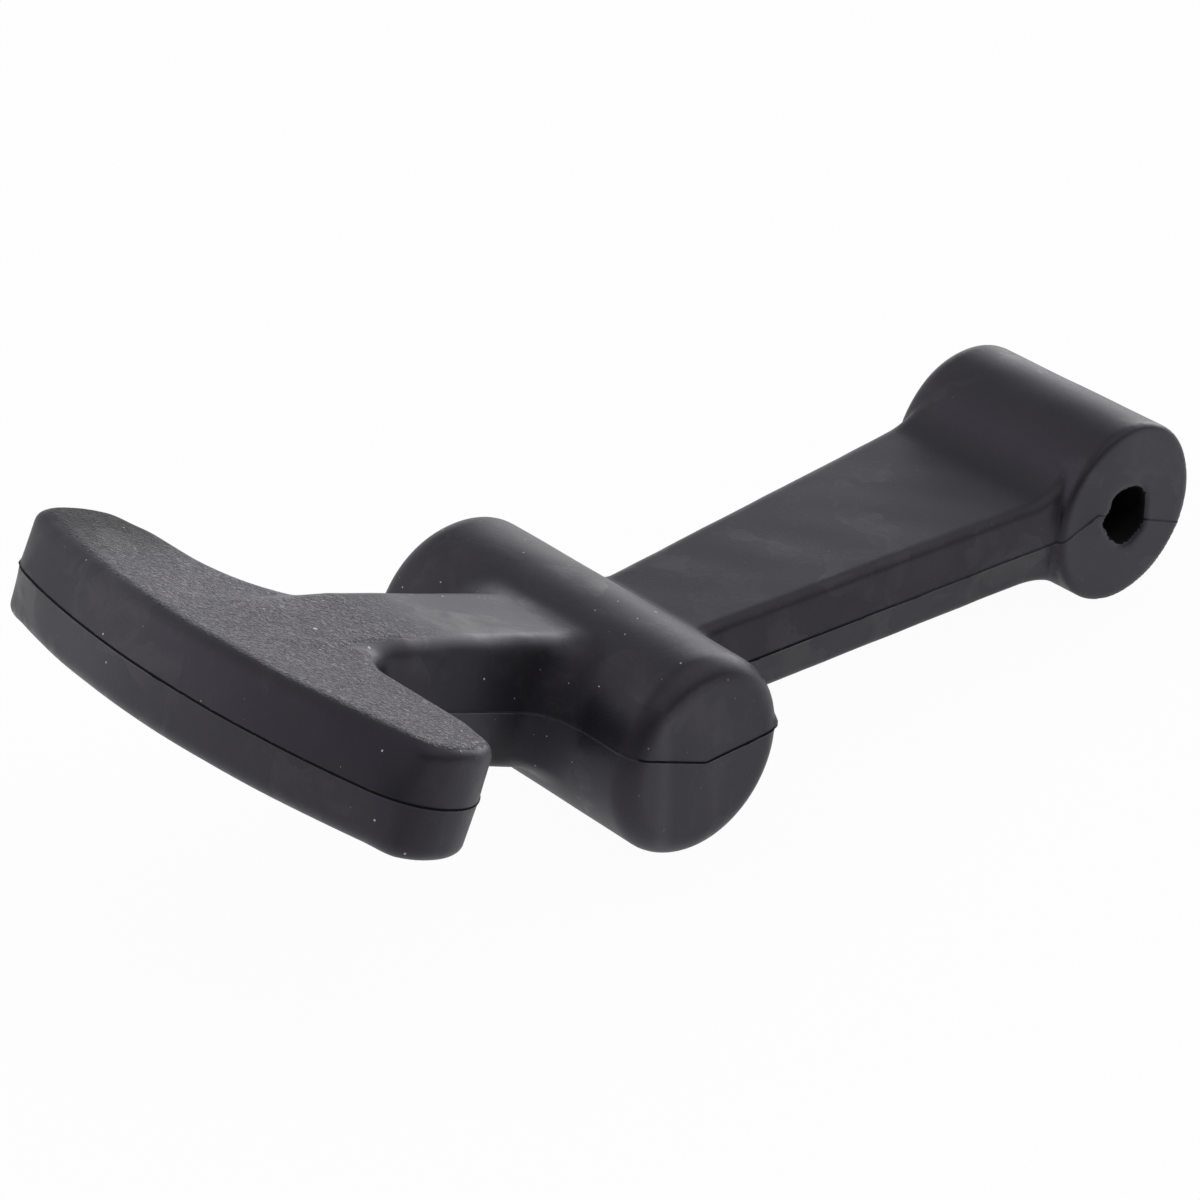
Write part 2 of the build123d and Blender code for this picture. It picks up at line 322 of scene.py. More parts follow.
class Moulding:
    """The latch's form as a distance in metres, below zero inside the rubber."""

    def __init__(self, form, marks):
        self.form = form
        self.marks = marks
        kick, aside = form.kick, form.side_set
        self.strap_along = -BARREL / AXIS_SPACING
        self.strap_up = np.array([-self.strap_along[2], 0.0, self.strap_along[0]])
        self.handle_along = np.array(
            [-math.cos(kick) * math.cos(aside), -math.sin(aside), math.sin(kick) * math.cos(aside)]
        )
        self.handle_up = np.array([math.sin(kick), 0.0, math.cos(kick)])
        self.handle_across = np.cross(self.handle_up, self.handle_along)
        twisted = self.handle_up * math.cos(form.twist) + self.handle_across * math.sin(form.twist)
        self.handle_up, self.handle_across = twisted, np.cross(twisted, self.handle_along)
        self.arm_rear = form.handle_reach - form.arm_depth
        self.neck_end = self.arm_rear - form.arm_root_round - form.neck_land
        self.handle_start = self.arm_rear - form.arm_root_round_far - form.neck_land
        self.flare_start = self.flare(form.strap_flare_under)[0]
        tip_centre = form.handle_half_width - form.arm_front_round
        self.front_centre = form.handle_reach - form.handle_front
        self.tip_cosine = math.sqrt(1 - (tip_centre / (form.handle_front - form.arm_front_round)) ** 2)

    def flare(self, radius):
        """Where the strap's curve into the eye starts, and the angle that it turns through."""
        form = self.form
        angle = math.acos((form.strap_half_eye + radius) / (form.eye_radius + radius))
        return form.axis_spacing - (form.eye_radius + radius) * math.sin(angle), angle

    def seam(self, x):
        """Height of the parting surface, which turns at the barrel and again in the eye."""
        form = self.form
        run = BARREL[0] - LATCH_LOW.x + SEAM_BEYOND
        past = LATCH_HIGH.x + SEAM_BEYOND
        rise = math.tan(form.kick)
        places = (BARREL[0] - run, BARREL[0], -form.seam_leaves, -form.seam_arrives, past)
        arrived = form.seam_arrives * rise - form.seam_drop
        heights = (BARREL[2] + run * rise, BARREL[2], 0.0, arrived, -past * rise - form.seam_drop)
        return np.interp(x, places, heights)

    def seam_rise(self, x):
        """Slope of the parting surface along x."""
        return (self.seam(x + STEP) - self.seam(x - STEP)) / (2 * STEP)

    def roller(self, points, centre, radius, half_length, edge):
        """A cylinder along Y with rounded rims and slightly sloping ends."""
        x, z = points[:, 0] - centre[0], points[:, 2] - centre[2]
        above_seam = points[:, 2] - self.seam(points[:, 0])
        slope = self.form.end_draft
        off_seam = np.where(above_seam > 0, above_seam, -self.form.end_draft_under * above_seam)
        side = np.hypot(x, z) - radius
        end = (np.abs(points[:, 1]) + off_seam * math.tan(slope) - half_length) * math.cos(slope)
        return rounded(side, end, edge, 0.0)

    def limb(self, across, height, half_width, half_thickness, edge):
        """A drafted bar: widest on the parting line, with its four corners rounded."""
        slope = self.form.draft
        side = (np.abs(across) + np.abs(height) * math.tan(slope) - half_width) * math.cos(slope)
        return rounded(side, np.abs(height) - half_thickness, edge, math.sin(slope))

    def strap(self, along, across, height):
        """The strap, wider towards the eye, where its faces curve up and down."""
        form = self.form
        share = along / form.axis_spacing
        width_share = along / (form.axis_spacing - form.strap_seat)
        half_width = form.strap_half_width + (form.strap_half_width_eye - form.strap_half_width) * width_share
        straight = np.minimum(along, self.flare_start) / form.axis_spacing
        half = form.strap_half + (form.strap_half_eye - form.strap_half) * straight
        for radius, face in ((form.strap_flare, height > 0), (form.strap_flare_under, height <= 0)):
            start, angle = self.flare(radius)
            curved = np.clip(along - start, 0, radius * math.sin(angle))
            half = half + np.where(face, radius - np.sqrt(radius**2 - curved**2), 0)
        body = self.limb(across, height, half_width, half, form.strap_edge)
        return np.maximum(body, np.maximum(-share, width_share - 1) * form.axis_spacing)

    def neck(self, along, across, height):
        """The neck, thickest at the barrel, sinking into the handle."""
        form = self.form
        stations = (0, self.neck_end, self.neck_end + form.neck_fade)
        halves = (form.neck_half, form.neck_half_end, form.handle_half - form.neck_sink)
        widths = (form.neck_half_width, form.neck_half_width, form.neck_half_width - form.neck_sink)
        half_width, half = np.interp(along, stations, widths), np.interp(along, stations, halves)
        body = self.limb(across, height, half_width, half, form.handle_edge)
        return np.maximum(body, np.maximum(-along, along - stations[-1]))

    def plan(self, along, across):
        """The handle's outline on its parting plane."""
        form = self.form
        from_centre = along - self.front_centre
        aside = across - form.handle_front_aside
        out = np.hypot(from_centre, aside)
        front = out - form.handle_front
        tips = np.abs(across - form.handle_aside) - form.handle_half_width
        ahead = rounded(front, tips, form.arm_front_round, np.abs(aside) / out)
        arms = rounded(ahead, self.arm_rear - along, form.arm_rear_round, 0.0)
        stem = np.maximum(np.abs(across) - form.neck_half_width, along - self.arm_rear - form.arm_root_round)
        root = np.where(across > 0, form.arm_root_round, form.arm_root_round_far)
        return blended(arms, stem, root, 0.0)

    def handle(self, along, across, height):
        """The T handle and its neck's root, drafted both ways from the parting plane."""
        form = self.form
        plan = self.plan(along, across)
        facing = np.abs(self.plan(along + STEP, across) - plan) / (STEP * self.tip_cosine)
        near_tip = np.abs(across) > form.handle_half_width / 2
        wall = np.where(near_tip, fade(facing, *TIP_FACING), 1.0)
        slope = form.tip_draft + (form.draft - form.tip_draft) * wall
        edge = form.tip_edge + (form.handle_edge - form.tip_edge) * wall
        side = (plan + np.abs(height) * np.tan(slope)) * np.cos(slope)
        body = rounded(side, np.abs(height) - form.handle_half, edge, np.sin(slope))
        return np.maximum(body, self.handle_start - along)

    def lean_on(self, limb, along, across, height, to_axis):
        """Cosine between a limb's surface and that of a roller whose axis is at to_axis along the limb."""
        base = limb(along, across, height)
        rise = (limb(along, across, height + STEP) - base) / STEP
        run = (limb(along + STEP, across, height) - base) / STEP
        out = np.maximum(np.hypot(along - to_axis, height), 1 * MM)
        return base, (rise * height + run * (along - to_axis)) / out

    def distance(self, points):
        """The whole moulding."""
        form, marks = self.form, self.marks
        from_barrel = points - BARREL
        across = points[:, 1]
        strap_at = (from_barrel @ self.strap_along, across, from_barrel @ self.strap_up)
        handle_axes = (self.handle_along, self.handle_across, self.handle_up)
        handle_at = tuple(from_barrel @ axis for axis in handle_axes)
        barrel = self.roller(points, BARREL, form.barrel_radius, form.barrel_length / 2, form.barrel_edge)
        eye_edge = np.where(across > 0, form.eye_edge_far, form.eye_edge)
        eye = self.roller(points, np.zeros(3), form.eye_radius, form.eye_length / 2, eye_edge)

        neck, neck_lean = self.lean_on(self.neck, *handle_at, 0.0)
        handle = self.handle(*handle_at)
        melt = form.neck_melt * fade(np.abs(handle_at[2]), *MELT_HEIGHTS) + 1e-9
        near = np.maximum(melt - np.abs(neck - handle), 0) / melt
        grip = np.minimum(neck, handle) - near**2 * melt / 4
        body = blended(barrel, grip, form.neck_blend, neck_lean)

        strap, strap_lean = self.lean_on(self.strap, *strap_at, 0.0)
        body = blended(body, strap, form.strap_blend, strap_lean)
        eye_lean = self.lean_on(self.strap, *strap_at, form.axis_spacing)[1]
        joined = blended(np.minimum(body, strap), eye, form.eye_blend, eye_lean)
        body = np.where(strap_at[0] > self.flare_start, joined, body)
        body = np.minimum(body, eye)

        from_nib = points - self.nib_centre()
        body = body - marks.nib * np.exp(-(from_nib**2).sum(axis=1) / marks.nib_spread**2)
        body = body + marks.unevenness * waves(points, wavelength=9 * MM, seed=3)

        hole = np.hypot(points[:, 0], points[:, 2])
        hole = form.bore_radius - self.torn_mouth(points) - hole
        return rounded(body, hole, form.bore_mouth, 0.0)

    def nib_centre(self):
        """Where a lump of flash sits on the barrel's near rim."""
        form = self.form
        rim = form.barrel_edge * (1 - math.sqrt(0.5))
        place = (form.barrel_radius - rim, rim - form.barrel_length / 2, self.marks.nib_above)
        return BARREL + np.array(place)

    def torn_mouth(self, points):
        """How far torn flash reaches into the bore near its mouths. Below zero it is torn out of the rim."""
        depth = self.form.eye_length / 2 - np.abs(points[:, 1])
        around = np.degrees(np.arctan2(points[:, 2], points[:, 0]))
        reach = 0.0
        for angle, spread, height in TORN_FLAPS:
            off = (around - angle + 180) % 360 - 180
            reach = reach + height * np.exp(-((off / spread) ** 2))
        return reach * self.marks.bore_ragged * (1 - fade(depth, *TORN_DEPTHS))


def slopes(distance, points):
    """The gradient of a distance."""
    shifts = np.eye(3) * FINE_STEP
    parts = [(distance(points + shift) - distance(points - shift)) / (2 * FINE_STEP) for shift in shifts]
    return np.stack(parts, axis=1)


def layer_heights(top, spacing, seam_half):
    """Heights of the grid's layers above the seam: close together at the seam, then evenly spaced."""
    heights = [seam_half / 2]
    step = seam_half
    while heights[-1] < top:
        heights.append(heights[-1] + step)
        step = min(step * LAYER_GROWTH, spacing)
    above = np.array(heights)
    return np.concatenate([-above[::-1], above])


def grid_skin(values, axes):
    """Points and quads of the skin where a grid of values changes sign, one point in each cut cell."""
    inside = values < 0
    cells = tuple(n - 1 for n in values.shape)
    total = np.zeros(cells + (3,))
    count = np.zeros(cells)
    sizes = [np.diff(axis) for axis in axes]
    for run in range(3):
        first = np.take(values, range(values.shape[run] - 1), axis=run)
        second = np.take(values, range(1, values.shape[run]), axis=run)
        cut = (first < 0) != (second < 0)
        share = np.where(cut, first / np.where(cut, first - second, 1), 0)
        others = [axis for axis in range(3) if axis != run]
        for shift_a in (0, 1):
            for shift_b in (0, 1):
                window = [slice(0, n) for n in cells]
                window[others[0]] = slice(shift_a, cells[others[0]] + shift_a)
                window[others[1]] = slice(shift_b, cells[others[1]] + shift_b)
                here, part = cut[tuple(window)], share[tuple(window)]
                count += here
                total[..., run] += part
                total[..., others[0]] += here * shift_a
                total[..., others[1]] += here * shift_b
    used = count > 0
    local = total[used] / count[used][:, None]
    index = np.full(cells, -1)
    index[used] = np.arange(used.sum())
    where = np.argwhere(used)
    columns = zip(axes, sizes, where.T, local.T)
    points = np.stack([axis[cell] + part * size[cell] for axis, size, cell, part in columns], axis=1)
    quads = []
    for run in range(3):
        a, b = [(run + 1) % 3, (run + 2) % 3]
        window = [slice(None)] * 3
        window[run] = slice(0, cells[run])
        window[a] = slice(1, cells[a])
        window[b] = slice(1, cells[b])
        first = inside[tuple(window)]
        window[run] = slice(1, cells[run] + 1)
        second = inside[tuple(window)]
        edge = np.argwhere(first != second)
        leaving = first[tuple(edge.T)]
        corners = []
        for back_a, back_b in ((1, 1), (0, 1), (0, 0), (1, 0)):
            cell = edge.copy()
            cell[:, a] += 1 - back_a
            cell[:, b] += 1 - back_b
            corners.append(index[tuple(cell.T)])
        quad = np.stack(corners, axis=1)
        quad[~leaving] = quad[~leaving][:, ::-1]
        quads.append(quad)
    return points, np.concatenate(quads), where


def relaxed(points, quads, free):
    """Points moved halfway towards the middle of their neighbours, where they are free to."""
    starts = quads.ravel()
    ends = np.roll(quads, -1, axis=1).ravel()
    total = np.zeros_like(points)
    count = np.bincount(starts, minlength=len(points)) + np.bincount(ends, minlength=len(points))
    for axis in range(3):
        total[:, axis] = np.bincount(starts, points[ends, axis], len(points))
        total[:, axis] += np.bincount(ends, points[starts, axis], len(points))
    middle = total / np.maximum(count, 1)[:, None]
    return points + 0.5 * (middle - points) * free[:, None]


def settled(points, moulding, on_seam, rounds):
    """Points moved onto the moulding's surface. Those on the seam stay on the parting surface."""
    for _ in range(rounds):
        value = moulding.distance(points)
        slope = slopes(moulding.distance, points)
        slope[on_seam, 0] += slope[on_seam, 2] * moulding.seam_rise(points[on_seam, 0])
        slope[on_seam, 2] = 0
        size = np.maximum((slope**2).sum(axis=1), LEAST_SLOPE)
        step = np.clip(value / size, -LONGEST_MOVE, LONGEST_MOVE)
        points = points - slope * step[:, None]
        points[on_seam, 2] = moulding.seam(points[on_seam, 0])
    return points


def moulded_skin(moulding):
    """The latch's whole skin: points, quads, and which points lie on the seam."""
    marks = moulding.marks
    margin = GRID_MARGIN * marks.spacing
    xs = np.arange(LATCH_LOW.x - margin, LATCH_HIGH.x + margin, marks.spacing)
    ys = np.arange(LATCH_LOW.y - margin, LATCH_HIGH.y + margin, marks.spacing)
    top = moulding.form.barrel_radius / math.cos(moulding.form.kick) + margin
    zs = layer_heights(top, marks.spacing, marks.flash_half)
    grid = np.stack(np.meshgrid(xs, ys, zs, indexing="ij"), axis=-1).reshape(-1, 3)
    grid[:, 2] += moulding.seam(grid[:, 0])
    values = moulding.distance(grid).reshape(len(xs), len(ys), len(zs))
    points, quads, cells = grid_skin(values, (xs, ys, zs))
    off_seam = points[:, 2].copy()
    on_seam = cells[:, 2] == len(zs) // 2 - 1
    points[on_seam, 2] = 0
    points[:, 2] += moulding.seam(points[:, 0])
    points = settled(points, moulding, on_seam, SETTLE_ROUNDS)
    free = fade(np.abs(off_seam), FREE_FROM * marks.flash_half, FREE_FULL * marks.flash_half)
    for _ in range(SETTLE_ROUNDS):
        points = settled(relaxed(points, quads, free), moulding, on_seam, 1)
    return settled(points, moulding, on_seam, 1), quads, on_seam


def raise_flash(points, moulding, on_seam):
    """The parting line's ridge of flash, uneven along its length, and none inside the bore."""
    marks, form = moulding.marks, moulding.form
    seam = points[on_seam]
    slope = slopes(moulding.distance, seam)
    slope[:, 2] = 0
    outward = slope / np.maximum(np.linalg.norm(slope, axis=1), 1e-6)[:, None]
    ragged = waves(seam, wavelength=2.2 * MM, seed=11) + waves(seam, wavelength=0.9 * MM, seed=12)
    height = np.maximum(marks.flash_height + marks.flash_ragged * ragged, marks.flash_least)
    height *= np.hypot(seam[:, 0], seam[:, 2]) > form.bore_radius + form.bore_mouth
    points[on_seam] = seam + outward * height[:, None]
    points[on_seam, 2] += marks.wander * waves(seam, wavelength=6 * MM, seed=13) * (height > 0)
    return points


def piece_from(name, points, quads):
    """A smooth mesh object."""
    mesh = bpy.data.meshes.new(name)
    mesh.from_pydata(points.tolist(), [], quads.tolist())
    mesh.validate()
    mesh.shade_smooth()
    piece = bpy.data.objects.new(name, mesh)
    bpy.context.scene.collection.objects.link(piece)
    return piece


def add_attribute(piece, name, values):
    """One value for each point of a piece, for its material to read."""
    attribute = piece.data.attributes.new(name, "FLOAT", "POINT")
    attribute.data.foreach_set("value", values.astype(np.float32))


class NodeBench:
    """Adds and joins nodes in one node tree, laid out from left to right."""

    def __init__(self, tree):
        self.tree = tree
        self.column = 0

    def add(self, kind, inputs=None, **settings):
        """A node with its settings, and its inputs set to values or joined to sockets."""
        node = self.tree.nodes.new(kind)
        self.column += 1
        node.location = (180 * self.column, -60 * (self.column % 5))
        for key, value in settings.items():
            setattr(node, key, value)
        for key, value in (inputs or {}).items():
            if isinstance(value, bpy.types.NodeSocket):
                self.tree.links.new(value, node.inputs[key])
            else:
                node.inputs[key].default_value = value
        return node

    def sum(self, operation, first, second=0.0, third=0.0, clamp=False):
        """The result of a Math node."""
        inputs = {0: first, 1: second, 2: third}
        return self.add("ShaderNodeMath", inputs, operation=operation, use_clamp=clamp).outputs[0]

    def ramp(self, value, start, end, low=0.0, high=1.0):
        """A value taken smoothly from one range to another."""
        inputs = {"Value": value, "From Min": start, "From Max": end, "To Min": low, "To Max": high}
        return self.add("ShaderNodeMapRange", inputs, interpolation_type="SMOOTHSTEP").outputs[0]

    def blend(self, share, first, second):
        """A colour between two colours."""
        node = self.add("ShaderNodeMix", data_type="RGBA")
        for socket, value in ((node.inputs[0], share), (node.inputs[6], first), (node.inputs[7], second)):
            if isinstance(value, bpy.types.NodeSocket):
                self.tree.links.new(value, socket)
            else:
                socket.default_value = value
        return node.outputs[2]


def shader_group(name, inputs, outputs, fill):
    """A shader node group whose named sockets are all plain numbers, filled in by a function."""
    group = bpy.data.node_groups.new(name, "ShaderNodeTree")
    for socket, value in inputs.items():
        made = group.interface.new_socket(socket, in_out="INPUT", socket_type="NodeSocketFloat")
        made.default_value = value
    for socket in outputs:
        group.interface.new_socket(socket, in_out="OUTPUT", socket_type="NodeSocketFloat")
    bench = NodeBench(group)
    entry = bench.add("NodeGroupInput")
    results = fill(bench, entry.outputs)
    bench.add("NodeGroupOutput", results)
    return group


def plain_white_rays(bench, reflected):
    """1 for rays that see the background as plain white, and a share of it for gloss."""
    rays = bench.add("ShaderNodeLightPath").outputs
    direct = bench.sum("MAXIMUM", rays["Is Camera Ray"], rays["Is Transmission Ray"])
    return bench.sum("MAXIMUM", direct, bench.sum("MULTIPLY", rays["Is Glossy Ray"], reflected))


def millimetre_coordinates(bench):
    """Object coordinates in millimetres."""
    where = bench.add("ShaderNodeTexCoord").outputs["Object"]
    return bench.add("ShaderNodeVectorMath", {0: where, "Scale": 1 / MM}, operation="SCALE").outputs[0]


def noise(bench, where, scale, detail=3.0, rough=0.5, distortion=0.0):
    """A Noise texture's value."""
    inputs = {"Vector": where, "Scale": scale, "Detail": detail, "Roughness": rough, "Distortion": distortion}
    return bench.add("ShaderNodeTexNoise", inputs).outputs["Fac"]


def strayed(bench, where, scale, detail, reach):
    """Coordinates that stray by up to about the reach, in millimetres."""
    wobble = bench.add("ShaderNodeTexNoise", {"Vector": where, "Scale": scale, "Detail": detail})
    inputs = {0: wobble.outputs["Color"], "Scale": reach}
    shift = bench.add("ShaderNodeVectorMath", inputs, operation="SCALE").outputs[0]
    return bench.add("ShaderNodeVectorMath", {0: where, 1: shift}, operation="ADD").outputs[0]


def fill_grain(bench, entry):
    """Leathery wrinkles about half a millimetre apart over a finer pebble."""
    where = millimetre_coordinates(bench)
    broad = noise(bench, where, scale=1.3, rough=0.65, distortion=0.5)
    crease = bench.sum("ABSOLUTE", bench.sum("SUBTRACT", broad, 0.5))
    wrinkles = bench.ramp(crease, 0.0, 0.08)
    folds = bench.ramp(noise(bench, where, scale=2.6, detail=2.0, rough=0.6, distortion=0.3), 0.35, 0.65)
    pebble = noise(bench, where, scale=5.0, detail=2.0, rough=0.6)
    leather = bench.sum("ADD", bench.sum("MULTIPLY", wrinkles, 0.5), bench.sum("MULTIPLY", folds, 0.5))
    leather = bench.sum("MULTIPLY", leather, entry["Wrinkles"])
    fine = bench.sum("MULTIPLY", pebble, entry["Pebble"])
    return {"Height": bench.sum("ADD", leather, fine), "Ridges": leather}


def fill_bloom(bench, entry):
    """Pale blotches with straight edges on one side, over broad soft clouds."""
    where = millimetre_coordinates(bench)
    moved = strayed(bench, where, scale=0.35, detail=3.0, reach=3.2)
    cells = bench.add("ShaderNodeTexVoronoi", {"Vector": moved, "Scale": 0.16})
    tone = bench.add("ShaderNodeSeparateColor", {0: cells.outputs["Color"]}).outputs[0]
    chosen = bench.ramp(tone, 0.62, 0.8)
    feather = noise(bench, where, scale=0.22, detail=5.0, rough=0.65, distortion=0.8)
    blotch = bench.sum("MULTIPLY", chosen, bench.ramp(feather, 0.38, 0.68))
    cloud = bench.ramp(noise(bench, where, scale=0.075), 0.35, 0.7)
    streak = bench.ramp(noise(bench, where, scale=0.6, detail=4.0, rough=0.7, distortion=1.5), 0.52, 0.72)
    soft = bench.sum("MULTIPLY", cloud, bench.sum("ADD", 0.35, bench.sum("MULTIPLY", streak, 0.4)))
    whole = bench.sum("ADD", bench.sum("MULTIPLY", blotch, 0.65), soft)
    return {"Mask": bench.sum("MULTIPLY", whole, entry["Amount"], clamp=True)}


def fill_dust(bench, entry):
    """Scattered specks, a few of them larger."""
    where = millimetre_coordinates(bench)
    moved = strayed(bench, where, scale=6.0, detail=1.0, reach=0.12)
    specks = []
    for scale, radius, rarity in DUST_SIZES:
        cells = bench.add("ShaderNodeTexVoronoi", {"Vector": moved, "Scale": scale})
        tone = bench.add("ShaderNodeSeparateColor", {0: cells.outputs["Color"]}).outputs[1]
        size = bench.sum("MULTIPLY", bench.sum("SUBTRACT", tone, rarity), radius * scale / (1 - rarity))
        near = bench.sum("SUBTRACT", size, cells.outputs["Distance"])
        specks.append(bench.ramp(near, 0.0, 0.03 * scale))
    both = bench.sum("MAXIMUM", *specks)
    return {"Mask": bench.sum("MULTIPLY", both, entry["Amount"])}


def shared_groups():
    """The effects that the latch's materials share."""
    depths = {"Wrinkles": 1.0, "Pebble": 0.06}
    return {
        "grain": shader_group("Leathery grain", depths, ["Height", "Ridges"], fill_grain),
        "bloom": shader_group("Mould bloom", {"Amount": 1.0}, ["Mask"], fill_bloom),
        "dust": shader_group("Dust specks", {"Amount": 1.0}, ["Mask"], fill_dust),
    }


def cleared(owner):
    """The bench to work on an emptied material or world."""
    owner.use_nodes = True
    owner.node_tree.nodes.clear()
    return NodeBench(owner.node_tree)


def new_material(name):
    """A material without nodes, and the bench to work on it."""
    material = bpy.data.materials.new(name)
    return material, cleared(material)


def principled(bench, inputs):
    """Ends a material with a Principled BSDF."""
    shader = bench.add("ShaderNodeBsdfPrincipled", inputs)
    bench.add("ShaderNodeOutputMaterial", {"Surface": shader.outputs[0]})


def attribute_value(bench, name):
    """A piece's own value at each point."""
    return bench.add("ShaderNodeAttribute", attribute_name=name).outputs["Fac"]


def solid(value):
    """A colour with full alpha."""
    return (*value, 1.0)


def moulded_rubber(finish, groups):
    """The skin that the polished mould leaves: grained on the handle, blotched all over, with dust, painted
    shade in the grain's valleys and painted light and shade in its gloss.
    """
    material, bench = new_material("moulded_rubber")
    inputs = {"Wrinkles": attribute_value(bench, "grain")}
    height, ridges = bench.add("ShaderNodeGroup", inputs, node_tree=groups["grain"]).outputs
    bloom = bench.add("ShaderNodeGroup", {"Amount": 1.0}, node_tree=groups["bloom"]).outputs[0]
    inputs = {"Amount": attribute_value(bench, "dusty")}
    dust = bench.add("ShaderNodeGroup", inputs, node_tree=groups["dust"]).outputs[0]
    # Ridges paler than the valleys: partly painted shade in the valleys
    pale = bench.sum("MULTIPLY_ADD", ridges, finish.ridge_bloom_and_valley_shade, bloom, clamp=True)
    skin = bench.blend(pale, solid(finish.rubber), solid(finish.bloom))
    low, high = finish.roughness - 0.04, finish.roughness + 0.06
    # Less gloss in the grain's valleys than on its ridges: painted shade
    level = bench.ramp(ridges, 0.0, 1.0, finish.valley_painted_shade_gloss, finish.ridge_gloss)
    bump = {"Height": height, "Strength": finish.grain, "Distance": finish.grain_height}
    inputs = {
        "Base Color": bench.blend(dust, skin, solid(finish.dust)),
        "Roughness": bench.ramp(bloom, 0.0, 0.8, high, low),
        # The gloss attribute carries painted shade and painted highlights
        "Specular IOR Level": bench.sum("MULTIPLY", attribute_value(bench, "gloss"), level),
        "Normal": bench.add("ShaderNodeBump", bump).outputs[0],
        "IOR": 1.52,
        # The bluish gloss tint stands in for the soft boxes' colour: painted light
        "Specular Tint": (0.87, 0.82, 1.0, 1.0),
    }
    principled(bench, inputs)
    return material


def torn_rubber(finish, groups):
    """The flash along the parting line, darker, duller and rougher where it is torn; inside the bore the same
    dark rubber is painted shade.
    """
    material, bench = new_material("torn_rubber")
    inputs = {"Wrinkles": 0.2, "Pebble": 1.0}
    height = bench.add("ShaderNodeGroup", inputs, node_tree=groups["grain"]).outputs[0]
    faint = attribute_value(bench, "faint")
    low, high = finish.torn_roughness - 0.1, finish.torn_roughness + 0.1
    torn = bench.ramp(height, 0.2, 0.8, low, high)
    roughness = {"Value": faint, "To Min": torn, "To Max": finish.roughness}
    bump = {"Height": height, "Strength": 0.6, "Distance": 0.1 * MM}
    inputs = {
        "Base Color": bench.blend(faint, solid(finish.torn), solid(finish.rubber)),
        "Roughness": bench.add("ShaderNodeMapRange", roughness).outputs[0],
        "Specular IOR Level": bench.ramp(faint, 0.0, 1.0, low=0.12, high=0.45),
        "Normal": bench.add("ShaderNodeBump", bump).outputs[0],
    }
    principled(bench, inputs)
    return material


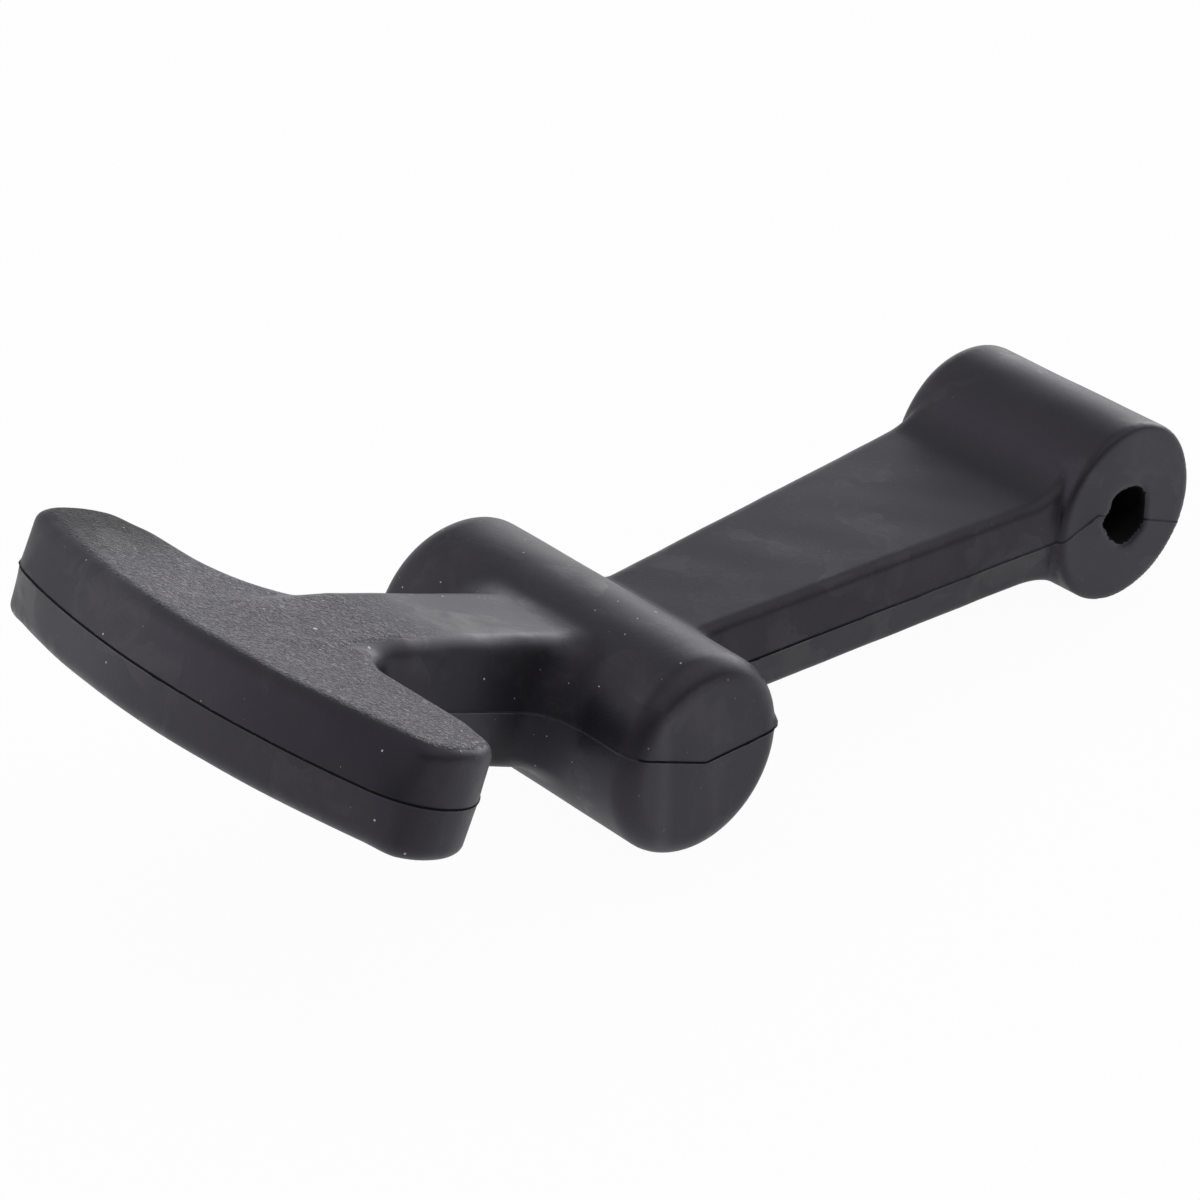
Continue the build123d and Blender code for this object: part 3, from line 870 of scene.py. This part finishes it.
class LATCH_OT_moulding(bpy.types.Operator):
    """Build the latch's skin, with its parting line, torn bore mouths and grain"""

    bl_idname = "latch.moulding"
    bl_label = "Build moulding"

    def execute(self, context):
        scene = context.scene
        moulding = Moulding(scene.latch_form, scene.latch_marks)
        points, quads, on_seam = moulded_skin(moulding)
        outward = slopes(moulding.distance, points)
        points = raise_flash(points, moulding, on_seam)
        piece = piece_from("moulded_latch", points, quads)
        groups = shared_groups()
        for material in (moulded_rubber, torn_rubber):
            piece.data.materials.append(material(scene.latch_finish, groups))
        self.dress(piece, moulding, points, quads, on_seam, outward)
        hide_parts("latch")
        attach(piece, "root")
        return {"FINISHED"}

    def dress(self, piece, moulding, points, quads, on_seam, outward):
        """Torn rubber along the seam, painted shade of torn rubber in the bore, and the values that the
        materials read, with painted light and shade in the gloss.
        """
        form, look = moulding.form, bpy.context.scene.latch_look
        off_axis = np.hypot(points[:, 0], points[:, 2])
        facing_in = (outward[:, 0] * points[:, 0] + outward[:, 2] * points[:, 2]) / off_axis < INTO_BORE
        # Inside the bore and on faces turned into it, the dark torn rubber is painted shade
        in_bore_painted_shade = off_axis < form.bore_radius + 0.3 * form.bore_mouth
        in_bore_painted_shade = in_bore_painted_shade | (facing_in & (off_axis < moulding.marks.torn_reach))
        torn = on_seam[quads].any(axis=1) | in_bore_painted_shade[quads].all(axis=1)
        piece.data.polygons.foreach_set("material_index", torn.astype(np.int32))

        from_barrel = points - BARREL
        along, across = from_barrel @ moulding.handle_along, from_barrel @ moulding.handle_across
        upward = fade(outward @ moulding.handle_up, UPWARD, 1.0)
        sideways = np.abs(outward[:, 1]) > SIDEWAYS
        at_end = sideways & (np.abs(along) < form.barrel_radius + 1 * MM)
        on_handle = fade(along, moulding.neck_end - look.grain_lead, moulding.arm_rear)
        at_far_tip = fade(-across, *FAR_TIP) * on_handle
        grain = (look.neck_grain + (1 - look.neck_grain) * on_handle) * upward
        add_attribute(piece, "grain", grain * (1 - look.far_smooth * at_far_tip))
        dusty = look.strap_dust + (1 - look.strap_dust) * fade(along, -look.dust_fade, look.dust_fade)
        add_attribute(piece, "dusty", dusty * (1 - look.end_clean * at_end))

        # Painted shade in the hollow where the neck meets the barrel, taking gloss off the skin there
        place, aside, size = PAINTED_SHADE_HOLLOW
        from_hollow = np.hypot(along - place, np.abs(across) - aside)
        in_painted_shade_hollow = np.exp(-((from_hollow / size) ** 2)) * (1 - upward)
        # Painted shade: less gloss towards the far tip, more on its top, and in the hollow beside the neck
        gloss = 1 - at_far_tip * (look.far_painted_shade + look.far_top_painted_shade * upward) - look.hollow_painted_shade * in_painted_shade_hollow
        # Painted light above the seam and painted shade under it, on the strap's sides
        strap_side = sideways & (along < -BARREL_RADIUS) & (points[:, 0] < -EYE_RADIUS)
        gloss = gloss + strap_side * np.where(outward[:, 2] > 0, look.strap_painted_light, -look.strap_painted_light)
        # Painted highlights: streaks of extra gloss on the barrel's near end
        for place, half_width, strength, low_only in PAINTED_HIGHLIGHT_STREAKS:
            streak = strength * np.exp(-(((from_barrel[:, 0] - place) / half_width) ** 2))
            shown = at_end & (points[:, 1] < 0) & ((from_barrel[:, 2] < 0) | (not low_only))
            gloss = gloss + look.streak_painted_highlight * streak * shown
        # This gloss holds the painted shade and painted highlights above
        add_attribute(piece, "gloss", gloss)

        on_neck = (along > 0) & (along < moulding.arm_rear - 2 * MM) & ~at_end
        faint = look.neck_faint * on_neck
        faint = faint + look.strap_faint * fade(-along, BARREL_RADIUS, look.strap_faint_end)
        add_attribute(piece, "faint", faint * ~in_bore_painted_shade)


class LATCH_OT_stage(bpy.types.Operator):
    """Set the white floor, the soft light and the camera"""

    bl_idname = "latch.stage"
    bl_label = "Set stage"

    def execute(self, context):
        stage = context.scene.latch_stage
        self.floor(stage)
        self.surroundings(context.scene, stage)
        self.camera(context.scene, stage)
        context.scene.view_settings.view_transform = "Standard"
        return {"FINISHED"}

    def floor(self, stage):
        """A floor, white to the camera with a little shadow, and clear from underneath."""
        half = stage.floor_size / 2
        height = LATCH_LOW.z - stage.floor_gap
        corners = np.array([(-half, -half), (half, -half), (half, half), (-half, half)])
        floor = piece_from("floor", np.insert(corners, 2, height, axis=1), np.array([(0, 1, 2, 3)]))
        material, bench = new_material("floor")
        matt = bench.add("ShaderNodeBsdfDiffuse", {"Color": (0.9, 0.9, 0.9, 1)}).outputs[0]
        plain = bench.add("ShaderNodeEmission", {"Color": (1, 1, 1, 1)}).outputs[0]
        share = bench.sum("MULTIPLY", plain_white_rays(bench, stage.floor_gloss), 1 - stage.shadow)
        mixed = bench.add("ShaderNodeMixShader", {0: share, 1: matt, 2: plain}).outputs[0]
        underneath = bench.add("ShaderNodeNewGeometry").outputs["Backfacing"]
        clear = bench.add("ShaderNodeBsdfTransparent").outputs[0]
        mixed = bench.add("ShaderNodeMixShader", {0: underneath, 1: mixed, 2: clear}).outputs[0]
        bench.add("ShaderNodeOutputMaterial", {"Surface": mixed})
        floor.data.materials.append(material)

    def surroundings(self, scene, stage):
        """White to the camera. As light, five soft boxes round and above the latch."""
        world = bpy.data.worlds.new("surroundings")
        bench = cleared(world)
        towards = bench.add("ShaderNodeTexCoord").outputs["Generated"]
        light = 0.0
        for turned, height, spread, strength in (
            (stage.key_turn, 0.0, stage.key_spread, stage.key),
            (stage.back_turn, 0.0, stage.back_spread, stage.back),
            (stage.left_turn, stage.low_height, stage.soft_spread, stage.left),
            (stage.front_turn, stage.low_height, stage.soft_spread, stage.front),
            (stage.top_turn, stage.top_height, stage.soft_spread, stage.top),
        ):
            heading = stage.azimuth + turned
            level = math.cos(height)
            centre = (level * math.sin(heading), level * math.cos(heading), math.sin(height))
            near = bench.add("ShaderNodeVectorMath", {0: towards, 1: centre}, operation="DOT_PRODUCT")
            box = bench.ramp(near.outputs["Value"], math.cos(spread), 1.0, 0.0, strength)
            light = bench.sum("ADD", box, light)
        inputs = {"Value": plain_white_rays(bench, stage.sky_gloss), "To Min": light, "To Max": 1.0}
        strength = bench.add("ShaderNodeMapRange", inputs).outputs[0]
        white = bench.add("ShaderNodeBackground", {"Color": (1, 1, 1, 1), "Strength": strength})
        bench.add("ShaderNodeOutputWorld", {"Surface": white.outputs[0]})
        scene.world = world

    def camera(self, scene, stage):
        """The photograph's viewpoint."""
        level, turned = math.cos(stage.elevation), stage.azimuth
        ahead = Vector((level * math.sin(turned), level * math.cos(turned), -math.sin(stage.elevation)))
        view = ahead.to_track_quat("-Z", "Y").to_matrix() @ Matrix.Rotation(stage.roll, 3, "Z")
        data = bpy.data.cameras.new("camera")
        data.lens = stage.lens
        data.sensor_width = 36.0
        data.clip_start = 0.01
        camera = bpy.data.objects.new("camera", data)
        place = Vector(stage.aim) - ahead * stage.distance
        camera.matrix_world = Matrix.Translation(place) @ view.to_4x4()
        scene.collection.objects.link(camera)
        scene.camera = camera


class LATCH_PT_panel(bpy.types.Panel):
    """The latch's tools and values"""

    bl_label = "Rubber T draw latch"
    bl_idname = "LATCH_PT_panel"
    bl_space_type = "VIEW_3D"
    bl_region_type = "UI"
    bl_category = "Latch"

    def draw(self, context):
        for operator in OPERATORS:
            self.layout.operator(operator.bl_idname)
        for name, group in SETTINGS.items():
            box = self.layout.box()
            box.label(text=group.__doc__)
            for key in group.__annotations__:
                box.prop(getattr(context.scene, name), key, text=key.replace("_", " ").capitalize())


SETTINGS = {
    "latch_form": LatchForm,
    "latch_marks": LatchMarks,
    "latch_look": SkinLook,
    "latch_finish": RubberFinish,
    "latch_stage": StudioStage,
}
OPERATORS = (LATCH_OT_moulding, LATCH_OT_stage)


def register():
    for name, group in SETTINGS.items():
        bpy.utils.register_class(group)
        setattr(bpy.types.Scene, name, bpy.props.PointerProperty(type=group))
    for operator in OPERATORS:
        bpy.utils.register_class(operator)
    bpy.utils.register_class(LATCH_PT_panel)


def unregister():
    bpy.utils.unregister_class(LATCH_PT_panel)
    for operator in reversed(OPERATORS):
        bpy.utils.unregister_class(operator)
    for name, group in SETTINGS.items():
        delattr(bpy.types.Scene, name)
        bpy.utils.unregister_class(group)


def main():
    register()
    bpy.ops.latch.moulding()
    bpy.ops.latch.stage()


if __name__ == "__main__":
    main()
